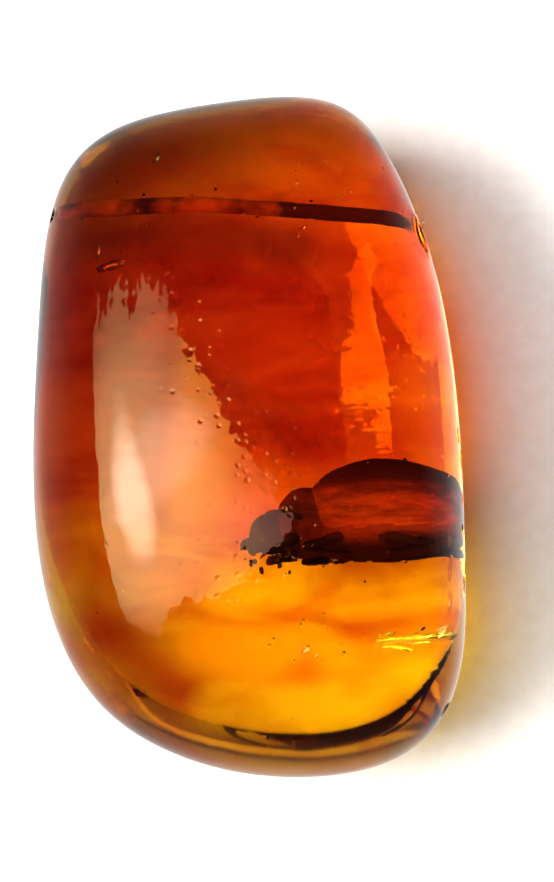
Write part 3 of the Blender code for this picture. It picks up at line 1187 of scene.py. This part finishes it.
    def shell_break(self, centre: Vector, radius: float, seed: float) -> Form:
        """Return a rippled ball, which leaves a shell-like break where it is cut away.

        Args:
            centre: The ball's centre in metres.
            radius: Its radius in metres.
            seed: What makes its ripples its own.

        Returns:
            The ball.
        """
        form = bmesh.new()
        bmesh.ops.create_icosphere(form, subdivisions=4, radius=1.0)
        turn = seed * self.ripple_turn
        origin = Vector((math.cos(turn), math.sin(turn), self.ripple_height))
        for vertex in form.verts:
            way = vertex.co.copy()
            ripple = self.break_ripple * math.cos(self.ripple_rate * (way - origin).length)
            lump = self.break_lump * noise.noise(way * self.lump_rate + Vector((seed, seed, 0)))
            vertex.co = centre + way * radius * (1 + ripple + lump)
        return form

    def cut(self, stone: Piece) -> Piece:
        """Cut the drill hole, its mouths and the chips out of the pebble.

        Args:
            stone: The whole pebble.

        Returns:
            The same object, cut.
        """
        tools = bpy.data.collections.new("cutters")
        for k, (kind, form) in enumerate(self.cutters()):
            tool = new_piece(f"{kind.value}_cutter_{k}", form)
            bpy.context.scene.collection.objects.unlink(tool)
            tools.objects.link(tool)
        bpy.context.scene.collection.children.link(tools)
        step = stone.modifiers.new("Cut", 'BOOLEAN')
        step.operation = 'DIFFERENCE'
        step.solver = 'EXACT'
        step.operand_type = 'COLLECTION'
        step.collection = tools
        freeze(stone)
        for tool in list(tools.objects):
            bpy.data.objects.remove(tool, do_unlink=True)
        bpy.data.collections.remove(tools)
        return stone

    def drill_stain(self) -> "DrillStain":
        """Return the stained sleeve round the drill hole, ended short of its mouths."""
        start, end = (Vector(p) * MM for p in self.bore_ends)
        first, last = self.stained_share
        return DrillStain(start.lerp(end, first), start.lerp(end, last),
                          self.bore_radius * self.stain_start)

    def hollows(self, scatter: Tree, amber: Material) -> Form:
        """Return the cracks and bubbles as hollows, their faces turned towards the gas in them.

        Args:
            scatter: The tree that strews the bubbles.
            amber: The amber's material.

        Returns:
            One bmesh of closed hollows.
        """
        forms = [flaw.form() for flaw in self.flaws]
        for lot in self.bubbles:
            strewn = lot.build(scatter, amber)
            form = bmesh.new()
            form.from_mesh(strewn.data)
            bpy.data.objects.remove(strewn, do_unlink=True)
            bmesh.ops.recalc_face_normals(form, faces=form.faces)
            forms.append(form)
        whole = join_forms(forms)
        bmesh.ops.reverse_faces(whole, faces=whole.faces)
        return whole

    def build(self, amber: Material, scatter: Tree) -> Piece:
        """Build the clear stone and dress it.

        Args:
            amber: The amber's material.
            scatter: The tree that strews the bubbles.

        Returns:
            The finished piece.
        """
        stone = self.cut(self.body())
        form = bmesh.new()
        form.from_mesh(stone.data)
        whole = join_forms([form, self.hollows(scatter, amber)])
        bpy.data.objects.remove(stone, do_unlink=True)
        for face in whole.faces:
            face.material_index = 0
        return new_piece("amber", whole, amber, outward=False)


@dataclass(frozen=True)
class DrillStain:
    """The stained sleeve of amber round the drill hole, just behind its wall."""

    start: Vector
    end: Vector
    inner: float                       # metres
    thickness: float = 0.035 * MM
    raggedness: float = 0.05 * MM
    lump_pitch: float = 0.9 * MM
    steps: int = 180
    sides: int = 40

    def build(self, finish: Material) -> Piece:
        """Build the sleeve as a closed ring wall.

        Args:
            finish: Its material.

        Returns:
            The piece.
        """
        ahead = (self.end - self.start).normalized()
        over = ahead.orthogonal().normalized()
        across = ahead.cross(over)
        form = bmesh.new()
        outside, inside = [], []
        for k in range(self.steps + 1):
            middle = self.start.lerp(self.end, k / self.steps)
            outer_ring, inner_ring = [], []
            for s in range(self.sides):
                turn = math.tau * s / self.sides
                way = over * math.cos(turn) + across * math.sin(turn)
                lump = noise.noise((middle + way * self.inner) / self.lump_pitch)
                reach = self.inner + self.thickness + max(0.0, lump) * self.raggedness
                outer_ring.append(form.verts.new(middle + way * reach))
                inner_ring.append(form.verts.new(middle + way * self.inner))
            outside.append(outer_ring)
            inside.append(inner_ring)
        loops = outside + inside[::-1] + [outside[0]]
        for lower, upper in zip(loops, loops[1:]):
            bridge(form, lower, upper)
        return new_piece("drill_stain", form, finish)


# ---------------------------------------------------------------- the beetle


@dataclass(frozen=True)
class Egg:
    """A rounded body form, its reach stated towards each side, in millimetres from the beetle's centre."""

    centre: tuple[float, float, float]
    front: float
    back: float
    up: float
    down: float
    side: float
    grid: tuple[int, int]              # faces round it, and from head to tail

    def form(self, origin: Vector, relief: Callable[[Vector], float] | None = None) -> Form:
        """Build the closed form.

        Args:
            origin: The beetle's centre in metres.
            relief: Outward offset in millimetres at a direction given as along, height, across.

        Returns:
            The form in the world's frame.
        """
        form = bmesh.new()
        bmesh.ops.create_uvsphere(form, u_segments=self.grid[0], v_segments=self.grid[1], radius=1.0)
        for vertex in form.verts:
            height, across, along = vertex.co
            way = Vector((along, height, across))
            proud = relief(way) if relief else 0.0
            reach = Vector((self.back if along > 0 else self.front, self.up if height > 0 else self.down,
                            self.side))
            vertex.co = origin + (Vector(self.centre) + way * reach + way * proud) * MM
        return form

    def mirrored(self) -> "Egg":
        """Return the same form on the beetle's other side."""
        x, y, z = self.centre
        return replace(self, centre=(x, y, -z))


def mirror_path(origin: Vector, path: Points, side: Side) -> list[Vector]:
    """Place a path on one side of the beetle.

    Args:
        origin: The beetle's centre in metres.
        path: The points in millimetres, as they are on the upper side.
        side: The side.

    Returns:
        The points in metres.
    """
    return [origin + Vector((x, y, z * side.value)) * MM for x, y, z in path]


@dataclass(frozen=True)
class Limb:
    """A jointed limb: its joints in millimetres from the beetle's centre, and how thick it is."""

    joints: Points
    radii: tuple[float, ...]           # millimetres at each joint
    swell: float                       # how much thicker each segment is in its middle
    steps: int = 6
    sides: int = 12

    def form(self, origin: Vector, side: Side) -> Form:
        """Build the closed limb.

        Args:
            origin: The beetle's centre in metres.
            side: The beetle's side that it is on.

        Returns:
            The form in the world's frame.
        """
        curve = smooth_path(mirror_path(origin, self.joints, side), self.steps)
        widths = []
        for k in range(len(curve)):
            first = min(k // self.steps, len(self.radii) - 2)
            share = k / self.steps - first
            width = self.radii[first] * (1 - share) + self.radii[first + 1] * share
            widths.append(width * (1 + self.swell * math.sin(math.pi * share) ** 2) * MM)
        return tube_form(curve, widths, self.sides)


LEG_RADII = (0.24, 0.20, 0.13, 0.08, 0.06)
LEG_SWELL = 0.18


@dataclass
class Beetle:
    """The beetle: wing cases, body, head, eyes, legs and feelers, head towards -X and back towards +Y."""

    low: Vector
    high: Vector
    wing_case: Egg = Egg((0.9, -0.25, 0.45), 2.7, 3.7, 2.45, 1.20, 1.50, (176, 88))
    abdomen: Egg = Egg((1.0, -0.75, 0.0), 3.1, 3.6, 1.20, 1.28, 1.70, (72, 80))
    thorax: Egg = Egg((-1.7, -0.55, 0.0), 1.3, 1.7, 1.70, 1.35, 1.55, (72, 48))
    head: Egg = Egg((-3.1, -0.85, 0.0), 0.95, 0.9, 0.95, 0.85, 0.95, (56, 40))
    snout: Egg = Egg((-3.85, -1.30, 0.0), 0.60, 0.7, 0.35, 0.35, 0.45, (40, 28))
    eye: Egg = Egg((-3.35, -0.65, 0.78), 0.30, 0.30, 0.30, 0.30, 0.28, (36, 24))
    seam_gap: float = 0.012 * MM       # from the middle to each wing case
    stria_count: int = 9
    stria_depth: float = 0.055
    stria_sharpness: float = 3.0
    puncture_pitch: float = 0.17
    puncture_share: float = 0.25       # of the groove's depth
    segment_count: int = 5
    plate_height: float = 0.07
    jaw_path: Points = ((-4.0, -1.35, 0.28), (-4.28, -1.42, 0.24), (-4.42, -1.46, 0.06))
    jaw_radius: float = 0.11
    jaw_taper: float = 0.07            # how much thinner the tip is
    jaw_steps: int = 5
    jaw_sides: int = 10
    legs: tuple[Limb, ...] = (
        Limb(((-1.9, -1.10, 1.05), (-2.6, -1.55, 1.45), (-3.2, -1.72, 1.25), (-2.5, -1.78, 0.95),
              (-2.0, -1.80, 0.75)), LEG_RADII, LEG_SWELL),
        Limb(((-0.2, -1.20, 1.35), (-1.0, -1.55, 1.80), (-1.7, -1.72, 1.70), (-0.6, -1.82, 1.25),
              (0.1, -1.84, 1.00)), LEG_RADII, LEG_SWELL),
        Limb(((1.4, -1.25, 1.35), (2.3, -1.55, 1.80), (3.1, -1.70, 1.65), (2.0, -1.82, 1.20),
              (1.2, -1.84, 0.95)), LEG_RADII, LEG_SWELL),
    )
    feeler: Limb = Limb(((-3.6, -0.55, 0.55), (-3.3, -0.15, 1.15), (-2.6, -0.20, 1.55),
                         (-1.9, -0.45, 1.72)), (0.10, 0.08, 0.08, 0.12), 0.30)
    origin: Vector = field(init=False)

    def __post_init__(self) -> None:
        """Find the beetle's centre from its packed box."""
        x = self.low.x - (self.snout.centre[0] - self.snout.front) * MM
        y = self.high.y - (self.wing_case.centre[1] + self.wing_case.up) * MM
        self.origin = Vector((x, y, (self.low.z + self.high.z) / 2))

    def stria(self, way: Vector) -> float:
        """Return the wing case's relief: rows of punctured grooves from front to tip.

        Args:
            way: The direction as along, height, across.

        Returns:
            The offset in millimetres.
        """
        turn = math.atan2(abs(way.z), way.y) / math.pi
        groove = (0.5 + 0.5 * math.cos(math.tau * turn * self.stria_count)) ** self.stria_sharpness
        along = math.tau * way.x * self.wing_case.back / self.puncture_pitch
        pits = 1 - self.puncture_share + self.puncture_share * math.cos(along)
        fade = max(0.0, 1 - way.x ** 2) ** 0.5
        return -self.stria_depth * groove * pits * fade

    def sternite(self, way: Vector) -> float:
        """Return the belly's relief: each plate rises to its hind edge and drops behind it.

        Args:
            way: The direction as along, height, across.

        Returns:
            The offset in millimetres.
        """
        place = (way.x + 1) * self.segment_count / 2
        step = (place % 1.0) ** 2
        return self.plate_height * step * max(0.0, 1 - way.x ** 2) ** 0.5

    def wing_cases(self) -> list[Form]:
        """Return both wing cases, which meet along the back."""
        forms = []
        for side in Side:
            egg = self.wing_case if side is Side.UPPER else self.wing_case.mirrored()
            form = egg.form(self.origin, self.stria)
            for vertex in form.verts:
                off = (vertex.co.z - self.origin.z) * side.value
                vertex.co.z = self.origin.z + side.value * max(off, self.seam_gap)
            forms.append(form)
        return forms

    def jaw(self, side: Side) -> Form:
        """Return one jaw, thinner towards its tip.

        Args:
            side: The beetle's side that it is on.
        """
        path = smooth_path(mirror_path(self.origin, self.jaw_path, side), self.jaw_steps)
        radii = [(self.jaw_radius - self.jaw_taper * k / (len(path) - 1)) * MM for k in range(len(path))]
        return tube_form(path, radii, self.jaw_sides)

    def build(self) -> list[Piece]:
        """Build and dress every part of the beetle.

        Returns:
            Its pieces.
        """
        shell = Chitin("chitin_wing_case", "#641D08", "#B43C10", "#3C0E05").build()
        skin = Chitin("chitin_body", "#4A1407", "#8A2B0C", "#300B04").build()
        face = Chitin("chitin_head", "#1E0A06", "#34120A", "#1A0805").build()
        limb = Chitin("chitin_limb", "#2A0C05", "#4A1608", "#1E0804").build()
        lens = Chitin("chitin_eye_lens", "#0C0605", "#1A0D0A", "#0A0504", pore_pitch=0.05 * MM,
                      roughness=0.3).build()
        body = [self.abdomen.form(self.origin, self.sternite), self.thorax.form(self.origin)]
        head = [self.head.form(self.origin), self.snout.form(self.origin)]
        head += [self.jaw(side) for side in Side]
        eyes = [egg.form(self.origin) for egg in (self.eye, self.eye.mirrored())]
        legs = [leg.form(self.origin, side) for side in Side for leg in self.legs]
        feelers = [self.feeler.form(self.origin, side) for side in Side]
        return [new_piece(name, join_forms(forms), finish) for name, forms, finish in (
            ("wing_cases", self.wing_cases(), shell), ("beetle_body", body, skin),
            ("beetle_head", head, face), ("beetle_eyes", eyes, lens),
            ("beetle_legs", legs, limb), ("beetle_feelers", feelers, limb))]


# ---------------------------------------------------------------- studio


def sky_way(azimuth: float, elevation: float) -> Vector:
    """Return the direction of a place in the sky.

    Args:
        azimuth: Degrees from +Y towards +X.
        elevation: Degrees above the floor.

    Returns:
        The unit direction from the stone.
    """
    a, e = math.radians(azimuth), math.radians(elevation)
    return Vector((math.sin(a) * math.cos(e), math.cos(a) * math.cos(e), math.sin(e)))


@dataclass(frozen=True)
class PanelLamp:
    """A soft rectangular lamp: its place in the sky in degrees, its size in metres and its brightness."""

    name: str
    azimuth: float
    elevation: float
    distance: float
    size: tuple[float, float]
    radiance: float
    colour: str

    def build(self) -> None:
        """Hang the lamp so that it faces the stone and shows in no reflection."""
        data = bpy.data.lights.new(self.name, 'AREA')
        data.shape = 'RECTANGLE'
        data.size, data.size_y = self.size
        data.color = linear(self.colour)[:3]
        data.energy = self.radiance * self.size[0] * self.size[1] * math.pi
        holder = bpy.data.objects.new(self.name, data)
        holder.location = sky_way(self.azimuth, self.elevation) * self.distance
        holder.rotation_euler = (-holder.location).to_track_quat('-Z', 'Y').to_euler()
        holder.visible_camera = False
        holder.visible_glossy = False
        bpy.context.scene.collection.objects.link(holder)


@dataclass(frozen=True)
class Glow:
    """A soft brighter spot of a pane: its place, reach and lean in degrees, and the light that it adds."""

    azimuth: float
    elevation: float
    radiance: float
    reach: tuple[float, float]
    lean: float = 0.0
    colour: str = "#FFE8C0"
    inner: float = 0.1                 # share of the squared reach that is fully bright

    def strength(self, tree: Tree, place: Socket, distance: float) -> Socket:
        """Return how much light the spot adds at a place of the pane.

        Args:
            tree: The light's tree.
            place: Object coordinates.
            distance: How far the pane stands from the stone.

        Returns:
            The added strength.
        """
        middle = sky_way(self.azimuth, self.elevation)
        across = middle.cross(Vector((0, 0, 1))).normalized()
        over = across.cross(middle).normalized()
        turn = math.radians(self.lean)
        axes = (across * math.cos(turn) + over * math.sin(turn),
                over * math.cos(turn) - across * math.sin(turn))
        squares = []
        for axis, reach in zip(axes, self.reach):
            run = tuple(axis / (math.radians(reach) * distance))
            squares.append(maths(tree, 'POWER', vector_maths(tree, 'DOT_PRODUCT', place, run), 2.0))
        far = maths(tree, 'ADD', *squares)
        return map_range(tree, far, (self.inner, 1.0), (self.radiance, 0.0), 'SMOOTHSTEP')


@dataclass(frozen=True)
class WindowPane:
    """A bright pane that shows only as an image in the stone: its corners as azimuth and elevation."""

    name: str
    corners: tuple[tuple[float, float], ...]                       # degrees
    radiance: float
    glows: tuple[Glow, ...]
    mirrored: bool
    ragged: tuple[float, float]        # degrees that worn skin frays the image, sideways and upwards
    straight_edges: int = 0            # how many of the last edges stay crisp
    colour: str = "#FFE8C0"
    distance: float = 0.6
    fray_pitch: float = 1.8            # degrees
    fray_seed: int = 36                # noise vectors follow a clock unless they are given a seed
    steps_per_fray: int = 3
    fine_fray: tuple[float, float] = (0.6, 2.7)                    # share of the fray, and how much finer

    def build(self) -> Piece:
        """Return the pane, which is not handed over with the stone."""
        noise.seed_set(self.fray_seed)
        form = bmesh.new()
        ways = [sky_way(*corner) for corner in self.corners]
        rim = []
        for k, way in enumerate(ways):
            ahead = ways[(k + 1) % len(ways)]
            steps = max(1, round(math.degrees(way.angle(ahead)) * self.steps_per_fray / self.fray_pitch))
            frayed = k < len(ways) - self.straight_edges
            for step in range(steps):
                point = way.lerp(ahead, step / steps).normalized()
                rim.append(form.verts.new((self.fray(point) if frayed else point) * self.distance))
        form.faces.new(rim)
        bmesh.ops.triangulate(form, faces=form.faces)
        pane = new_piece(self.name, form, self.glow(), outward=False)
        pane.visible_camera = False
        pane.visible_diffuse = False
        pane.visible_glossy = self.mirrored
        pane.visible_transmission = not self.mirrored
        pane.visible_shadow = False
        return pane

    def fray(self, point: Vector) -> Vector:
        """Move a place on the pane's edge a little, as worn skin would show it.

        Args:
            point: The direction of the place.

        Returns:
            The moved direction.
        """
        place = point * math.degrees(1) / self.fray_pitch
        share, finer = self.fine_fray
        off = noise.noise_vector(place) + share * noise.noise_vector(place * finer)
        across = Vector((0, 0, 1)).cross(point).normalized()
        sideways, upwards = (math.radians(r) for r in self.ragged)
        return (point + across * off.x * sideways + point.cross(across) * off.y * upwards).normalized()

    def glow(self) -> Material:
        """Return the pane's light: even, with its soft brighter spots."""
        material, tree, light = new_glow(self.name + "_daylight")
        place = object_place(tree)
        total = tuple(part * self.radiance for part in linear(self.colour)[:3])
        for glow in self.glows:
            spot = glow.strength(tree, place, self.distance)
            total = vector_maths(tree, 'MULTIPLY_ADD', spot, linear(glow.colour)[:3], total)
        set_inputs(tree, light, {"Color": total})
        return material


@dataclass
class Studio:
    """Camera, card floor, sky and lamps."""

    elevation: float = math.radians(78)
    distance: float = 0.2
    aim: tuple[float, float, float] = (1.32, -0.3, 5.0)
    sensor: float = 36.0
    long_side_seen: float = 0.0409     # metres seen along the picture's long side at the aim
    near_clip: float = 0.01
    floor_reach: float = 2.0
    floor_cells: int = 8
    floor_drop: float = 0.03 * MM      # air under the stone
    wall_reach: float = 1.4
    wall_height: float = 1.0
    wall_sides: int = 48
    wall_colour: str = "#F2F0EE"
    sky_stops: Stops = ((0.0, "#FFFFFF"), (0.12, "#E4E0DC"), (0.24, "#A8A4A0"), (0.45, "#605E5C"),
                        (0.55, "#303030"), (1.0, "#202020"))       # from straight down to straight up
    bounces: int = 16                  # light crosses many walls of the stone and its hollows
    indirect_clamp: float = 30.0
    lamps: tuple[PanelLamp, ...] = (
        PanelLamp("window_light", 262.0, 43.0, 0.5, (0.36, 0.21), 26.0, "#FFFAF4"),
        PanelLamp("room_light", 255.0, 62.0, 0.7, (0.70, 0.60), 5.0, "#FFFFFF"),
    )
    panes: tuple[WindowPane, ...] = (
        WindowPane("window_on_skin",
                   ((287.6, 15.0), (290.2, 30.6), (296.2, 48.7), (298.6, 68.9), (256.8, 85.4),
                    (177.1, 79.7), (200.6, 72.4), (207.3, 63.0), (226.6, 50.7), (223.6, 38.9),
                    (240.2, 29.1), (259.9, 27.7), (276.3, 22.5), (282.4, 18.2)),
                   1.0, (Glow(261.0, 46.0, 4.8, (25.0, 40.0), 24.0, "#FFF0A0"),
                         Glow(310.0, 69.0, 5.2, (31.0, 18.0), -28.0, "#FFAA00"),
                         Glow(267.5, 42.5, 9.5, (16.5, 7.3), -41.0, "#FFE8C8"),
                         Glow(274.0, 51.0, 2.2, (24.0, 8.0), 79.0, "#F0F4F0"),
                         Glow(205.0, 77.0, 1.5, (9.0, 7.0), 0.0, "#FF7098")),
                   True, (1.3, 2.4), 5, "#FFDD9E"),
        WindowPane("window_in_stone",
                   ((246.2, 48.6), (254.7, 48.8), (288.3, 66.4), (303.3, 68.7), (306.3, 70.2),
                    (311.2, 72.7), (324.3, 75.8), (314.2, 77.1), (265.5, 67.3)),
                   42.0, (Glow(275.0, 58.0, 40.0, (20.0, 6.0), 40.0),), False, (0.3, 0.6)),
    )

    def camera(self) -> None:
        """Set the camera above the stone, tipped towards its near end."""
        aim = Vector(self.aim) * MM
        back = Vector((0, -math.cos(self.elevation), math.sin(self.elevation)))
        data = bpy.data.cameras.new("camera")
        data.sensor_width = self.sensor
        data.lens = self.sensor * self.distance / self.long_side_seen
        data.clip_start = self.near_clip
        camera = bpy.data.objects.new("camera", data)
        camera.location = aim + back * self.distance
        camera.rotation_euler = (-back).to_track_quat('-Z', 'Y').to_euler()
        bpy.context.scene.collection.objects.link(camera)
        bpy.context.scene.camera = camera

    def floor(self) -> None:
        """Lay the card that the stone rests on."""
        form = bmesh.new()
        bmesh.ops.create_grid(form, x_segments=self.floor_cells, y_segments=self.floor_cells,
                              size=self.floor_reach)
        bmesh.ops.translate(form, vec=(0, 0, -self.floor_drop), verts=form.verts)
        floor = new_piece("floor", form, CardPaper().build(), outward=False)
        floor.visible_glossy = False

    def backdrop(self) -> None:
        """Stand a pale card wall all round, seen behind the stone and through it, but not in its gloss."""
        form = bmesh.new()
        turns = [math.tau * k / self.wall_sides for k in range(self.wall_sides)]
        plan = [(math.cos(t) * self.wall_reach, math.sin(t) * self.wall_reach) for t in turns]
        foot, head = ([form.verts.new((*spot, height)) for spot in plan]
                      for height in (-self.floor_drop, self.wall_height))
        bridge(form, head, foot)
        material, tree, light = new_glow("lit_card_wall")
        set_inputs(tree, light, {"Color": linear(self.wall_colour)})
        wall = new_piece("backdrop", form, material, outward=False)
        wall.visible_glossy = False
        wall.visible_diffuse = False
        wall.visible_shadow = False

    def sky(self) -> None:
        """Make the room: dark overhead, and pale far below, as the card looks from the stone's edge."""
        world = bpy.data.worlds.new("room")
        world.use_nodes = True
        tree = world.node_tree
        way = add_node(tree, "ShaderNodeTexCoord").outputs["Generated"]
        rise = map_range(tree, split_axes(tree, way)["Z"], (-1.0, 1.0))
        set_inputs(tree, tree.nodes["Background"],
                   {"Color": ramp(tree, rise, self.sky_stops), "Strength": 1.0})
        bpy.context.scene.world = world

    def build(self) -> None:
        """Set up the whole studio."""
        self.camera()
        self.floor()
        self.backdrop()
        self.sky()
        for light in (*self.lamps, *self.panes):
            light.build()
        scene = bpy.context.scene
        scene.view_settings.view_transform = 'Standard'
        scene.cycles.max_bounces = self.bounces
        scene.cycles.transmission_bounces = self.bounces
        scene.cycles.sample_clamp_indirect = self.indirect_clamp
        scene.cycles.use_denoising = True


def main() -> None:
    """Build the studio, the amber and the beetle, and hand each piece over."""
    logging.basicConfig(level=logging.INFO, format="%(name)s %(message)s")
    Studio().build()
    scatter = LumpScatter().tree()
    amber = HandPolishedAmber().build()
    stone_plan = AmberStone(*CAD_BOX)
    stone = stone_plan.build(amber, scatter)
    hand_over(stone, AMBER_NODES)
    for piece in Beetle(*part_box(BEETLE_NODE)).build():
        hand_over(piece, (BEETLE_NODE,))
    crumb = EarthyCrumb("plant_crumb", "#240C05", "#4A1A0A").build()
    for lot in CRUMBS:
        hand_over(lot.build(scatter, crumb))
    hand_over(stone_plan.drill_stain().build(StainedAmber().build()))
    dirt = EarthyCrumb("drill_dirt", "#1C0904", "#3A170A").build()
    for lot in DRILL_DIRT:
        hand_over(lot.build(scatter, dirt))


if __name__ == "__main__":
    main()
